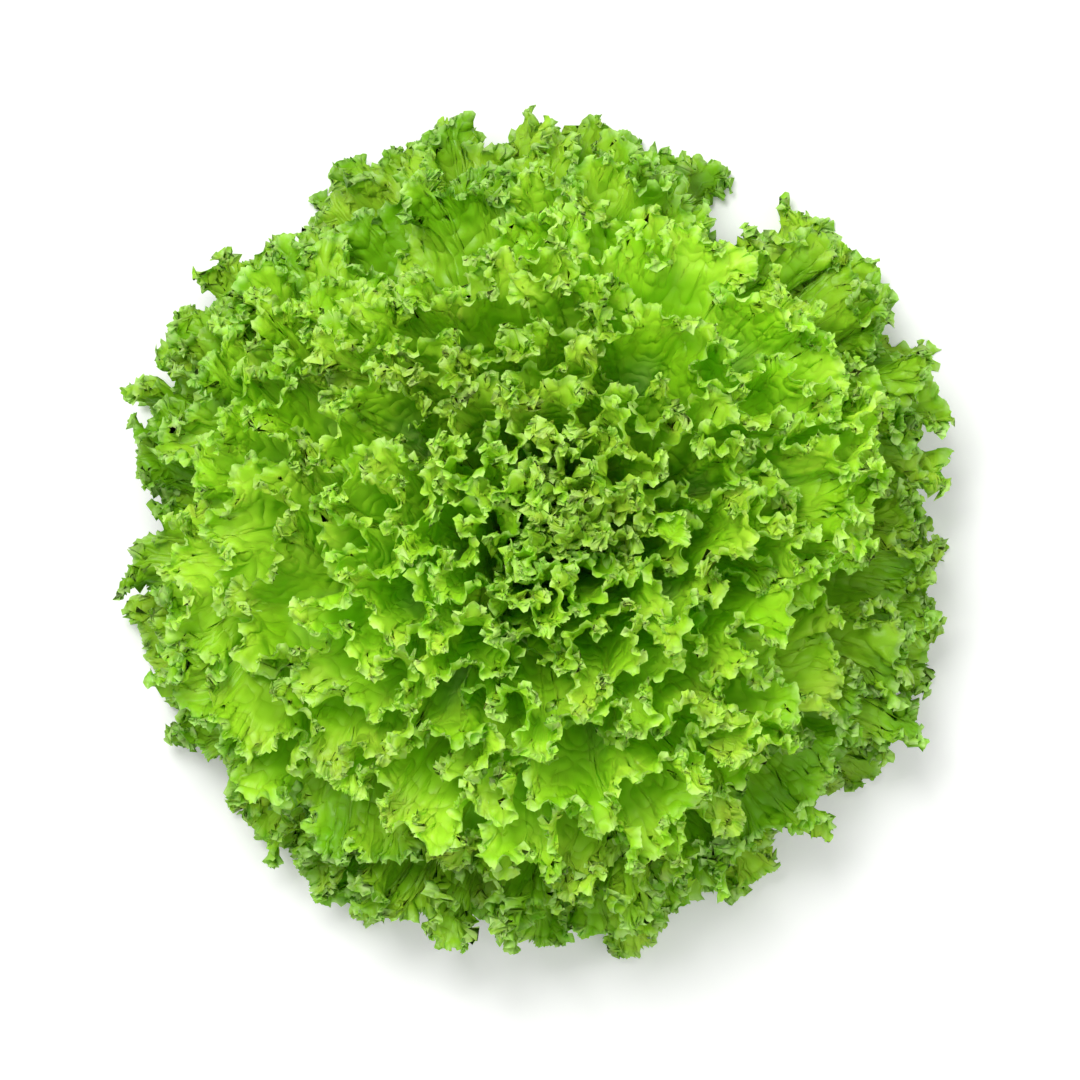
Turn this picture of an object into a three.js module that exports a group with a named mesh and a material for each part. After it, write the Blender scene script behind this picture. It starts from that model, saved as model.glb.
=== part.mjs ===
// A head of curly leaf lettuce, standing on its cut stem: a short tapering stem that carries rings
// of separate frilled leaves, from small upright heart leaves to broad outer leaves that droop to
// the table. Millimetres, +Z up. The origin is the centre of the stem's cut face, on the table.
//
// The leaves lie on a family of nested bowls, called shells. Shell 0 is the heart and shell 1 is
// the outermost. Each ring of leaves has a slot of its own between its neighbours' shells, and its
// ruffles stay in that slot, so no two leaves meet.
import * as THREE from "three";

// ---- Driving dimensions ----
const HEAD_RADIUS = 146; // from the axis to the outermost rims
const CROWN_RADIUS_SHARE = 0.86; // how much narrower the dome of the upper rims is
const HEAD_HEIGHT = 150; // to the rims of the heart leaves
const SHOULDER_HEIGHT = 26; // height of the widest rims
const RIM_POLAR_ANGLES = [1.5, 105]; // of the rims of shells 0 and 1 from the vertical, seen from the shoulder
const RIM_POLAR_POWER = 1.5; // more than 1 crowds the rims towards the heart
const FOOT_ANGLES = [8, 74]; // of shells 0 and 1 from the vertical, as they leave the stem
const FOOT_PULL = 0.42; // how far a shell holds that direction, as a share of its chord
const RIM_ANGLES = [5, 118]; // of shells 0 and 1 from the vertical at their rims, where they bend outwards
const RIM_ANGLE_POWER = 2.4; // more than 1 keeps the inner leaves upright
const RIM_PULL = 0.34; // how far back from the rim a shell holds that direction, as a share of its chord

const STEM_CUT_RADIUS = 16; // the cut face that the head stands on
const STEM_CUT_CHAMFER = 1;
const STEM_BARE_HEIGHT = 9; // bare stump below the lowest leaves
const STEM_SIDES = 24;
const LOWEST_ATTACHMENT = { radius: 17, height: 16 };
const HIGHEST_ATTACHMENT = { radius: 3.5, height: 60 };
const STEM_TIP_ABOVE = 3; // the growing point above the highest leaves
const STEM_CLEARANCE = 1.2; // between the stem's skin and the leaf bases

const BLADE_THICKNESS = 0.9;
const RIB_THICKNESS_HEART = 0.9; // thickness of the midrib at the leaf base
const RIB_THICKNESS_OUTER = 3.0;
const FLOOR_CLEARANCE = 0.05; // how close the drooping rims come to the table

// ---- Leaf arrangement ----
// Where each of the outer leaves points, in degrees anticlockwise from +X, seen from above.
const OUTER_RINGS = [
  [86, 36, 342, 286, 212, 150],
  [93, 29, 321, 243, 177],
  [98, 24, 336, 276, 218, 158],
  [76, 46, 324, 298, 226, 200, 154, 104],
];
const PARTING = { azimuth: 61, catches: 8, half: 1 }; // degrees: outer leaves meeting here stop short
const INNER_RING_COUNTS = [2, 2, 3, 3, 3, 3, 4, 4, 4, 3, 3]; // leaves a ring, from the heart outwards
const HEART_RINGS = 2;
const GOLDEN_ANGLE = 137.5; // degrees that each inner ring turns from the one inside it
const AZIMUTH_JITTER = 9; // degrees
const LEAF_SHARE = 0.47; // share of the angle to its neighbour that a leaf's half takes
const INNER_REACH = [0.92, 1]; // a leaf's length as a share of its shell's
const OUTER_REACH = [0.97, 1];
const RIM_TRIMS = [
  { azimuth: 42, width: 18, share: -0.025 },
  { azimuth: 90, width: 13, share: 0.065 },
  { azimuth: 124, width: 12, share: -0.02 },
  { azimuth: 152, width: 11, share: 0.055 },
  { azimuth: 182, width: 9, share: 0.05 },
  { azimuth: 213, width: 11, share: 0.045 },
  { azimuth: 311, width: 12, share: 0.08 },
  { azimuth: 342, width: 16, share: 0.025 },
]; // where the outer leaves end short of their shell or past it: degrees, and a share of its length

// ---- Leaf outline and ruffles ----
const SIDE_START = 0.3; // how far out the frilled margin starts, as a share of the leaf
const BASE_WIDTH = 0.72; // the clasping base's angle as a share of the blade's
const SQUARENESS = 4.4; // 2 is an ellipse, and more is a squarer tip
const COLUMNS = 16;
const ROWS = [0, 0.25, 0.5, 0.72, 0.88, 1]; // from the base to the margin
const RUFFLE_SHARE = 0.25; // the main wave's height as a share of the slot
const RUFFLE_STARTS = 0.3; // how far out the blade begins to ruffle
const RUFFLE_POWER = 1.5; // how late the ruffle grows to its full height
const WAVE_SPACING = 46; // mm of margin for each main wave
const LEAST_WAVES = 2;
const SIDES_LENGTH = 0.9; // a leaf's two frilled sides together, as a share of the head's radius
const RIB_WIDTH = 0.45; // the midrib's width at the base, as a share of half the leaf
const RIB_POWER = 1.5; // how soon it thins outwards
const TABLE_SOFTNESS = 1.5; // mm over which a drooping rim comes to lie on the table
const NORMAL_STEP = 1e-3; // share of the leaf over which its slope is measured
const LEAN_SHARE = 0.07; // how far one side of a leaf lies outside the other, as a share of a slot

// The head is a little uneven as a whole. Each wave moves all the leaves at a place alike.
const RADIUS_SWAYS = [
  { waves: 2, height: 0.022, start: 1.1, turn: 0 },
  { waves: 5, height: 0.014, start: 0, turn: 4 },
]; // shares of a shell, growing to the rim
const SWAY_PEAK = 4.6; // makes the sways about their stated size half-way between the heart and the outside
const SWAY_END = 1.15; // the shell at which they would be nothing again
const TWIST = { waves: 3, height: 0.08, start: 2.6 }; // radians at the rim
const HEAVE_HEIGHT = 2.6; // mm
const HEAVES = {
  x: [{ start: 0.6, y: 19 }, { start: 2, y: 41, z: 21 }],
  y: [{ start: 1.7, x: 20 }, { start: 0.3, x: -37, z: 23 }],
  z: [{ start: 2.2, x: 17 }, { start: 4.1, y: 18 }],
}; // the waves that move each axis: mm along the others for each radian of wave
const HEAVE_CORE = { above: 60, reach: 70 }; // mm: the heaves grow over this distance from the lower stem

const RINGS = INNER_RING_COUNTS.length + OUTER_RINGS.length;
const SLOT = 1 / RINGS; // a ring's share of the shells
const DEGREE = Math.PI / 180;

/** A repeatable number from 0 to 1 for leaf `seed` and use `channel`. */
function chance(seed, channel) {
  const scattered = Math.sin(seed * 12.9898 + channel * 78.233) * 43758.5453;
  return scattered - Math.floor(scattered);
}

const mix = (from, to, share) => from + (to - from) * share;
const wave = (turns, start) => Math.sin(turns + start);

/** Where shell `t` meets the stem, and its rim on the dome, as [radius, height]. */
function shellEnds(t) {
  const angle = mix(...RIM_POLAR_ANGLES, t ** RIM_POLAR_POWER) * DEGREE;
  const radius = HEAD_RADIUS * mix(CROWN_RADIUS_SHARE, 1, t * t);
  return {
    foot: [
      mix(HIGHEST_ATTACHMENT.radius, LOWEST_ATTACHMENT.radius, t),
      mix(HIGHEST_ATTACHMENT.height, LOWEST_ATTACHMENT.height, t),
    ],
    rim: [
      radius * Math.sin(angle),
      SHOULDER_HEIGHT + (HEAD_HEIGHT - SHOULDER_HEIGHT) * Math.cos(angle),
    ],
  };
}

/** The point of shell `t` at share `s` from stem to rim, as [radius, height]. */
function shellPoint(t, s) {
  const { foot, rim } = shellEnds(t);
  const footAngle = mix(...FOOT_ANGLES, t) * DEGREE;
  const rimAngle = mix(...RIM_ANGLES, t ** RIM_ANGLE_POWER) * DEGREE;
  const chord = Math.hypot(rim[0] - foot[0], rim[1] - foot[1]);
  const [rising, falling] = [FOOT_PULL * chord, RIM_PULL * chord];
  const rise = [foot[0] + rising * Math.sin(footAngle), foot[1] + rising * Math.cos(footAngle)];
  const fall = [rim[0] - falling * Math.sin(rimAngle), rim[1] - falling * Math.cos(rimAngle)];
  const weights = [(1 - s) ** 3, 3 * s * (1 - s) ** 2, 3 * s * s * (1 - s), s ** 3];
  const blend = (i) => [foot, rise, fall, rim].reduce((sum, point, k) => sum + weights[k] * point[i], 0);
  return [blend(0), blend(1)];
}

/** Moves a point of the head by slow waves through space, so that the leaves don't lie in even circles. */
function heave(point) {
  const away = Math.hypot(point.x, point.y) + Math.max(point.z - HEAVE_CORE.above, 0);
  const near = Math.min(away / HEAVE_CORE.reach, 1) ** 2;
  const height = HEAVE_HEIGHT * near * (3 - 2 * near);
  const turns = (lengths) => Object.entries(lengths).reduce((sum, [axis, mm]) => sum + point[axis] / mm, 0);
  const moved = (axis) =>
    point[axis] + height * HEAVES[axis].reduce((sum, { start, ...lengths }) => sum + wave(turns(lengths), start), 0);
  return new THREE.Vector3(moved("x"), moved("y"), moved("z"));
}

/** Turns (azimuth in radians, shell, share along the shell) into a point of the head. */
function headPoint(azimuth, t, s) {
  const sway = RADIUS_SWAYS.reduce(
    (sum, { waves, height, start, turn }) => sum + height * wave(waves * azimuth + turn * t, start),
    0,
  );
  const [radius, height] = shellPoint(t + sway * s * SWAY_PEAK * t * (1 - t / SWAY_END), s);
  const twist = azimuth + TWIST.height * s * wave(TWIST.waves * azimuth, TWIST.start);
  return heave(new THREE.Vector3(radius * Math.cos(twist), radius * Math.sin(twist), height));
}

/** The rings of leaves from the heart outwards: the azimuths, in degrees, that each ring holds. */
function ringAzimuths() {
  const inner = INNER_RING_COUNTS.map((count, ring) =>
    Array.from({ length: count }, (_, i) => {
      const jitter = (chance(ring * 10 + i, 1) - 0.5) * 2 * AZIMUTH_JITTER;
      return ring * GOLDEN_ANGLE + (i * 360) / count + jitter;
    }),
  );
  return [...inner, ...OUTER_RINGS];
}

/** The angle that half a leaf takes towards a neighbour, all in degrees. */
function halfAngle(azimuth, neighbour, outer) {
  const boundary = (((azimuth + neighbour) / 2) % 360 + 360) % 360;
  const parted = outer && Math.abs(boundary - PARTING.azimuth) < PARTING.catches;
  return Math.abs(neighbour - azimuth) * LEAF_SHARE - (parted ? PARTING.half : 0);
}

/** Every leaf: its shell, where it points, and the angle that each of its halves takes, in radians. */
function describeLeaves() {
  const leaves = [];
  ringAzimuths().forEach((azimuths, ring) => {
    const sorted = azimuths.map((a) => ((a % 360) + 360) % 360).sort((a, b) => a - b);
    sorted.forEach((azimuth, i) => {
      const next = sorted[(i + 1) % sorted.length] + (i + 1 === sorted.length ? 360 : 0);
      const previous = sorted[(i + sorted.length - 1) % sorted.length] - (i === 0 ? 360 : 0);
      const seed = leaves.length + 1;
      const outer = ring >= INNER_RING_COUNTS.length;
      leaves.push({
        seed,
        ring,
        outer,
        shell: (ring + 0.5) * SLOT,
        azimuth: azimuth * DEGREE,
        leftAngle: halfAngle(azimuth, next, outer) * DEGREE,
        rightAngle: halfAngle(azimuth, previous, outer) * DEGREE,
        reach: mix(...(outer ? OUTER_REACH : INNER_REACH), chance(seed, 2)),
        lean: (chance(seed, 3) - 0.5) * 2 * LEAN_SHARE,
        phase: chance(seed, 4) * 2 * Math.PI,
      });
    });
  });
  return leaves;
}

/** How much shorter the outer leaves are at an azimuth in radians, as a share of their length. */
function rimTrim(azimuth) {
  return RIM_TRIMS.reduce((sum, trim) => {
    const turned = (azimuth / DEGREE - trim.azimuth + 540) % 360;
    const away = turned - 180;
    return sum + trim.share * Math.exp(-((away / trim.width) ** 2));
  }, 0);
}

/** The margin at `across`, from -1 at the right foot round the tip to 1: [share of angle, share out]. */
function marginPoint(across) {
  const [side, far] = [Math.sin((across * Math.PI) / 2), Math.abs(Math.cos((across * Math.PI) / 2))];
  const stretch = (Math.abs(side) ** SQUARENESS + far ** SQUARENESS) ** (-1 / SQUARENESS);
  return [side * stretch, SIDE_START + (1 - SIDE_START) * far * stretch];
}

/** Number of main waves round a leaf's margin, from its length in millimetres. */
function waveCount(leaf) {
  const rimRadius = shellEnds(leaf.shell).rim[0];
  const sides = SIDES_LENGTH * HEAD_RADIUS * leaf.reach;
  return Math.max(LEAST_WAVES, ((leaf.leftAngle + leaf.rightAngle) * rimRadius + sides) / WAVE_SPACING);
}

/** The middle of a leaf's sheet at `across` (-1 to 1) and `out` (0 at the base, 1 at the margin). */
function sheetPoint(leaf, across, out) {
  const [side, far] = marginPoint(across);
  const angleShare = mix(BASE_WIDTH * across, side, out);
  const half = angleShare > 0 ? leaf.leftAngle : leaf.rightAngle;
  const azimuth = leaf.azimuth + angleShare * half;
  const s = far * out * leaf.reach * (leaf.outer ? 1 - rimTrim(azimuth) : 1);
  const growth = Math.max(0, (out - RUFFLE_STARTS) / (1 - RUFFLE_STARTS)) ** RUFFLE_POWER;
  const ruffle = RUFFLE_SHARE * growth * wave(Math.PI * waveCount(leaf) * across, leaf.phase);
  const shell = leaf.shell + SLOT * (leaf.lean * angleShare * out + ruffle);
  return headPoint(azimuth, shell, s);
}

/** Thickness of a leaf: a rib along the middle that thins outwards, and an even blade. */
function thickness(leaf, across, out) {
  const rib = mix(RIB_THICKNESS_HEART, RIB_THICKNESS_OUTER, leaf.shell) - BLADE_THICKNESS;
  return BLADE_THICKNESS + Math.max(0, rib) * (1 - out) ** RIB_POWER * Math.exp(-((across / RIB_WIDTH) ** 2));
}

/** Keeps a point's height above `lowest`, easing into it. */
function restOnTable(height, lowest) {
  const above = height - lowest;
  return lowest + (above + Math.hypot(above, TABLE_SOFTNESS)) / 2;
}

/** One leaf as a closed sheet with two faces and an edge all round. */
function leafGeometry(leaf) {
  const at = (i, j) => sheetPoint(leaf, -1 + (2 * i) / COLUMNS, ROWS[j]);
  const faces = { upper: [], lower: [] };
  for (let j = 0; j < ROWS.length; j++) {
    for (let i = 0; i <= COLUMNS; i++) {
      const across = -1 + (2 * i) / COLUMNS;
      const middle = at(i, j);
      const inwards = across > 0 ? -NORMAL_STEP : NORMAL_STEP;
      const alongSide = sheetPoint(leaf, across + inwards, ROWS[j]).sub(middle).multiplyScalar(Math.sign(inwards));
      const outStep = j > 0 ? -NORMAL_STEP : NORMAL_STEP;
      const alongOut = sheetPoint(leaf, across, ROWS[j] + outStep).sub(middle).multiplyScalar(Math.sign(outStep));
      const normal = alongOut.cross(alongSide).normalize();
      const half = thickness(leaf, across, ROWS[j]) / 2;
      for (const [face, sign] of [["upper", 1], ["lower", -1]]) {
        const point = middle.clone().addScaledVector(normal, sign * half);
        faces[face].push(point);
      }
    }
  }
  faces.lower.forEach((low, k) => {
    const up = faces.upper[k];
    const lift = restOnTable(Math.min(low.z, up.z), FLOOR_CLEARANCE) - Math.min(low.z, up.z);
    low.z += lift;
    up.z += lift;
  });
  return closedSheet(faces.upper, faces.lower, COLUMNS, ROWS.length - 1);
}

/** Joins two grids of points, columns by rows, into one closed body. */
function closedSheet(upper, lower, columns, rows) {
  const width = columns + 1;
  const offset = upper.length;
  const index = [];
  const quad = (a, b, c, d) => index.push(a, b, c, a, c, d);
  for (let j = 0; j < rows; j++) {
    for (let i = 0; i < columns; i++) {
      const [a, b, c, d] = [j * width + i, j * width + i + 1, (j + 1) * width + i + 1, (j + 1) * width + i];
      quad(a, d, c, b);
      quad(offset + a, offset + b, offset + c, offset + d);
    }
  }
  const border = [];
  for (let i = 0; i < columns; i++) border.push(i);
  for (let j = 0; j < rows; j++) border.push(j * width + columns);
  for (let i = columns; i > 0; i--) border.push(rows * width + i);
  for (let j = rows; j > 0; j--) border.push(j * width);
  border.forEach((from, k) => {
    const to = border[(k + 1) % border.length];
    quad(from, to, offset + to, offset + from);
  });
  const geometry = new THREE.BufferGeometry().setFromPoints([...upper, ...lower]);
  geometry.setIndex(index);
  geometry.computeVertexNormals();
  return geometry;
}

/** The stem: a cut stump at the foot, tapering to the growing point among the heart leaves. */
function stemGeometry() {
  const skin = (point) => new THREE.Vector2(point.radius - STEM_CLEARANCE, point.height);
  const tipHeight = HIGHEST_ATTACHMENT.height + STEM_TIP_ABOVE;
  const profile = [
    new THREE.Vector2(0, 0),
    new THREE.Vector2(STEM_CUT_RADIUS - STEM_CUT_CHAMFER, 0),
    new THREE.Vector2(STEM_CUT_RADIUS, STEM_CUT_CHAMFER),
    new THREE.Vector2(STEM_CUT_RADIUS, STEM_BARE_HEIGHT),
    skin(LOWEST_ATTACHMENT),
    skin(HIGHEST_ATTACHMENT),
    new THREE.Vector2(0, tipHeight),
  ];
  return new THREE.LatheGeometry(profile, STEM_SIDES).rotateX(Math.PI / 2);
}

// ---- Materials ----
const stemMaterial = new THREE.MeshStandardMaterial({ color: 0xd9e0b0, roughness: 0.6, metalness: 0 });

/** Leaf green, paler towards the heart. */
function leafMaterial(leaf) {
  const color = new THREE.Color(0x9ccf2e).lerp(new THREE.Color(0x6aa81e), leaf.shell);
  return new THREE.MeshStandardMaterial({ color, roughness: 0.45, metalness: 0 });
}

// ---- Assembly ----
const head = new THREE.Group();
head.name = "curly_leaf_lettuce";

const stem = new THREE.Mesh(stemGeometry(), stemMaterial);
stem.name = "stem";
head.add(stem);

const numbered = (n) => String(n).padStart(2, "0");
for (const leaf of describeLeaves()) {
  const mesh = new THREE.Mesh(leafGeometry(leaf), leafMaterial(leaf));
  const kind = leaf.ring < HEART_RINGS ? "heart_leaf" : leaf.ring < INNER_RING_COUNTS.length ? "inner_leaf" : "outer_leaf";
  mesh.name = `${kind}_${numbered(leaf.seed)}`;
  head.add(mesh);
}

export default head;
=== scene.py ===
"""A head of curly leaf lettuce standing on its cut stem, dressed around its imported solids.

Every leaf is a thin closed sheet on the same nested bowls, called shells, that the solids lie on.
Its margin is then curled twice over, the small curls riding on the large ones, and cut into small
teeth. Lengths are in millimetres until a mesh is made, and the frame is in metres.
"""

import logging
import math
from collections.abc import Callable
from dataclasses import dataclass, field
from enum import Enum, IntEnum
from functools import partial
from typing import Any

import bpy
import numpy as np
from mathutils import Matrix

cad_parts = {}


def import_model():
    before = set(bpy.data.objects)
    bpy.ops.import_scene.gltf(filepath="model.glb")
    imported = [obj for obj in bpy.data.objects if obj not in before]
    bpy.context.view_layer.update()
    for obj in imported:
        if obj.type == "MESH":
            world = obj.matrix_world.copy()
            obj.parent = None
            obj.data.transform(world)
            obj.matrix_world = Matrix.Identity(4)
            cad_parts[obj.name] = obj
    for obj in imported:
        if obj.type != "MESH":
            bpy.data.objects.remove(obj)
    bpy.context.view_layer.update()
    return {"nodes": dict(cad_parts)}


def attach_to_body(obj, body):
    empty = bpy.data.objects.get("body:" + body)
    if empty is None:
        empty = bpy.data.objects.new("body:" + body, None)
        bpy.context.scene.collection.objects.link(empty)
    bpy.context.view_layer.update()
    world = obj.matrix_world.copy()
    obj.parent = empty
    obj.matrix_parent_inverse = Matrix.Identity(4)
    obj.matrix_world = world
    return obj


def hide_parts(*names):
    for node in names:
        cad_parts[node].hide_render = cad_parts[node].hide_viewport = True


Array = np.ndarray
Faces = list[tuple[int, ...]]
Pair = tuple[float, float]
Triple = tuple[float, float, float]

LOG = logging.getLogger("lettuce")
MM = 0.001
HALF_TURN = math.pi
FULL_TURN = 2 * math.pi
LEAST_COSINE = 0.3  # a curled line never takes up less than this share of its length
HASH = (12.9898, 78.233, 43758.5453)  # what chance() scatters its numbers with
WAVES = ((1.0, 0.45), (1.73, 0.35), (2.91, 0.25), (4.37, 0.15))  # speeds and heights in wobble()
WAVE_CHANNELS = 0.37  # keeps the starts of those waves apart
MARGIN_POINTS = 201  # a leaf's margin is first measured with so many points
MIDDLE_POINTS = 60  # and its length along the middle with these


class Slot(Enum):
    """The material slots of the part's record."""

    STEM = "stem"
    HEART = "heart_leaf"
    INNER = "inner_leaf"
    OUTER = "outer_leaf"


class Channel(IntEnum):
    """What a leaf's chances are for. Each frill has channels of its own."""

    TURN = 1
    REACH = 2
    LEAN = 3
    PHASE = 4
    TONE = 5
    TEETH = 60
    LOBES = 70
    BLISTERS = 80


# ---- Numbers and curves ----


def chance(seed: float, channel: float) -> float:
    """A repeatable number from 0 to 1 for leaf ``seed`` and use ``channel``."""
    scattered = math.sin(seed * HASH[0] + channel * HASH[1]) * HASH[2]
    return scattered - math.floor(scattered)


def scatter(numbers: Array, channel: float) -> Array:
    """The same for an array of whole numbers."""
    return np.modf(np.abs(np.sin(numbers * HASH[0] + channel * HASH[1]) * HASH[2]))[0]


def mix(low: Any, high: Any, share: Any) -> Any:
    """The value ``share`` of the way from ``low`` to ``high``."""
    return low + (high - low) * share


def wobble(x: Array, seed: float, channel: float) -> Array:
    """Smooth irregular waves from about -1 to 1, one every 6 units of ``x``.

    Args:
        x: where to read the waves.
        seed: the leaf's number.
        channel: which use the waves are for.

    Returns:
        The height at each ``x``.
    """
    total = np.zeros_like(x)
    for part, (speed, height) in enumerate(WAVES):
        start = FULL_TURN * chance(seed, channel + WAVE_CHANNELS * part)
        total += height * np.sin(speed * x + start)
    return total


def unit(vectors: Array) -> Array:
    """The vectors at length 1."""
    lengths = np.linalg.norm(vectors, axis=-1, keepdims=True)
    return vectors / np.maximum(lengths, 1e-9)


def arc(points: Array) -> Array:
    """Length along rows of points, measured both ways from the middle column."""
    lengths = np.linalg.norm(np.diff(points, axis=-2), axis=-1)
    start = np.zeros((*lengths.shape[:-1], 1))
    total = np.concatenate([start, np.cumsum(lengths, axis=-1)], axis=-1)
    middle = total.shape[-1] // 2
    return total - total[..., middle : middle + 1]


def running_mean(values: Array, window: int) -> Array:
    """The mean of each row over ``window`` columns round each column."""
    half = min(window // 2, values.shape[1] - 2)
    padded = np.pad(values, ((0, 0), (half + 1, half)), mode="reflect", reflect_type="odd")
    total = np.cumsum(padded, axis=1)
    return (total[:, 2 * half + 1 :] - total[:, : -2 * half - 1]) / (2 * half + 1)


def even_columns(line: Array, step: float) -> Array:
    """Numbers of the points of a fine line that stand about ``step`` apart along it."""
    place = arc(line) - arc(line)[0]
    wanted = np.linspace(0, place[-1], round(place[-1] / step) + 1)
    return np.searchsorted(place, wanted).clip(0, len(line) - 1)


def sum_out(slope: Array, inward: Array) -> Array:
    """The sum of a slope from the sheet's base out to each row."""
    steps = (slope[1:] + slope[:-1]) / 2 * np.diff(inward, axis=0)
    total = np.zeros_like(slope)
    total[:-1] = np.cumsum(steps[::-1], axis=0)[::-1]
    return total


def sheet_axes(points: Array, window: int = 0) -> tuple[Array, Array, Array]:
    """Unit vectors along the margin, out towards it and across the sheet.

    Args:
        points: the sheet, in rows from the margin in.
        window: number of columns over which the way out is evened.
    """
    tangent = unit(np.gradient(points, axis=1))
    out = -np.gradient(points, axis=0)
    if window:
        out = np.stack([running_mean(out[..., i], window) for i in range(3)], axis=-1)
    normal = unit(np.cross(tangent, out))
    return tangent, np.cross(normal, tangent), normal


# ---- The head's form ----


@dataclass(frozen=True)
class Heave:
    """Waves through space that move all the leaves at a place alike, so none meet."""

    height: float
    lengths: tuple[float, ...]
    starts: tuple[float, ...]

    def shift(self, x: Array, y: Array, z: Array) -> Array:
        """How far each point moves."""
        a, b, c, d, e, f, g, h = self.lengths
        s = self.starts
        moves = [
            np.sin(y / a + s[0]) + np.sin(z / b + y / c + s[1]),
            np.sin(x / d + s[2]) + np.sin(z / e - x / f + s[3]),
            np.sin(x / g + s[4]) + np.sin(y / h + s[5]),
        ]
        return self.height * np.stack(moves, axis=-1)


@dataclass(frozen=True)
class Shells:
    """The nested bowls that the leaves lie on: shell 0 is the heart, and shell 1 the outermost.

    A pair of numbers belongs to these two shells. The foot of a shell is where it leaves the stem, and
    the rim is where its leaves end. A sway or twist is its height, its number of waves round the head
    and where they start, which for the small sway is where they start on shell 1.
    """

    head_radius: float = 146.0
    crown_radius_share: float = 0.86
    head_height: float = 150.0
    shoulder_height: float = 26.0
    rim_polar_degrees: Pair = (1.5, 105.0)
    rim_polar_power: float = 1.5
    foot_degrees: Pair = (8.0, 74.0)
    foot_pull: float = 0.42
    foot_radii: Pair = (3.5, 17.0)
    foot_heights: Pair = (60.0, 16.0)
    rim_degrees: Pair = (5.0, 118.0)
    rim_power: float = 2.4
    rim_pull: float = 0.34
    broad_sway: Triple = (0.022, 2, 1.1)
    small_sway: Triple = (0.014, 5, 4.0)
    sway_peak: float = 4.6
    sway_end: float = 1.15
    twist: Triple = (0.08, 3, 2.6)
    core_above: float = 60.0
    core_reach: float = 70.0
    slow: Heave = Heave(2.6, (19, 21, 41, 20, 23, 37, 17, 18), (0.6, 2.0, 1.7, 0.3, 2.2, 4.1))
    quick: Heave = Heave(1.2, (8.1, 7.3, 19, 7.7, 8.5, 17, 7.1, 7.9), (1.6, 0.5, 0.4, 2.3, 3.2, 5.0))

    def rim(self, t: Array) -> tuple[Array, Array]:
        """Radius and height of shell ``t``'s rim."""
        polar = np.radians(mix(*self.rim_polar_degrees, t**self.rim_polar_power))
        radius = self.head_radius * mix(self.crown_radius_share, 1.0, t * t) * np.sin(polar)
        return radius, self.shoulder_height + (self.head_height - self.shoulder_height) * np.cos(polar)

    def profile(self, t: Array, s: Array) -> tuple[Array, Array]:
        """Radius and height of shell ``t`` at share ``s`` of the way from stem to rim."""
        t = np.clip(t, 1e-4, None)
        foot = mix(*self.foot_radii, t), mix(*self.foot_heights, t)
        rim = self.rim(t)
        foot_angle = np.radians(mix(*self.foot_degrees, t))
        rim_angle = np.radians(mix(*self.rim_degrees, t**self.rim_power))
        chord = np.hypot(rim[0] - foot[0], rim[1] - foot[1])
        rising, falling = self.foot_pull * chord, self.rim_pull * chord
        leave = foot[0] + rising * np.sin(foot_angle), foot[1] + rising * np.cos(foot_angle)
        arrive = rim[0] - falling * np.sin(rim_angle), rim[1] - falling * np.cos(rim_angle)
        weights = (1 - s) ** 3, 3 * s * (1 - s) ** 2, 3 * s * s * (1 - s), s**3
        points = foot, leave, arrive, rim
        radius, height = (sum(w * p[i] for w, p in zip(weights, points)) for i in range(2))
        return radius, height

    def point(self, azimuth: Array, t: Array, s: Array) -> Array:
        """Points of the head for azimuths in radians, shells and shares along them."""
        broad, small, twist = self.broad_sway, self.small_sway, self.twist
        sway = broad[0] * np.sin(broad[1] * azimuth + broad[2])
        sway = sway + small[0] * np.sin(small[1] * azimuth + small[2] * t)
        swayed = t + sway * s * self.sway_peak * t * (1 - t / self.sway_end)
        radius, height = self.profile(swayed, s)
        turn = azimuth + twist[0] * s * np.sin(twist[1] * azimuth + twist[2])
        x, y, z = radius * np.cos(turn), radius * np.sin(turn), height
        away = np.hypot(x, y) + np.clip(z - self.core_above, 0, None)
        near = np.clip(away / self.core_reach, 0, 1) ** 2
        free = (near * (3 - 2 * near))[..., None]
        moved = self.slow.shift(x, y, z) + self.quick.shift(x, y, z)
        return np.stack([x, y, z], axis=-1) + moved * free


@dataclass(frozen=True)
class LeafPlan:
    """Where one leaf grows and how far it reaches. Angles are in radians."""

    name: str
    slot: Slot
    seed: int
    shell: float
    azimuth: float
    left: float
    right: float
    reach: float
    lean: float
    phase: float


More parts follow.
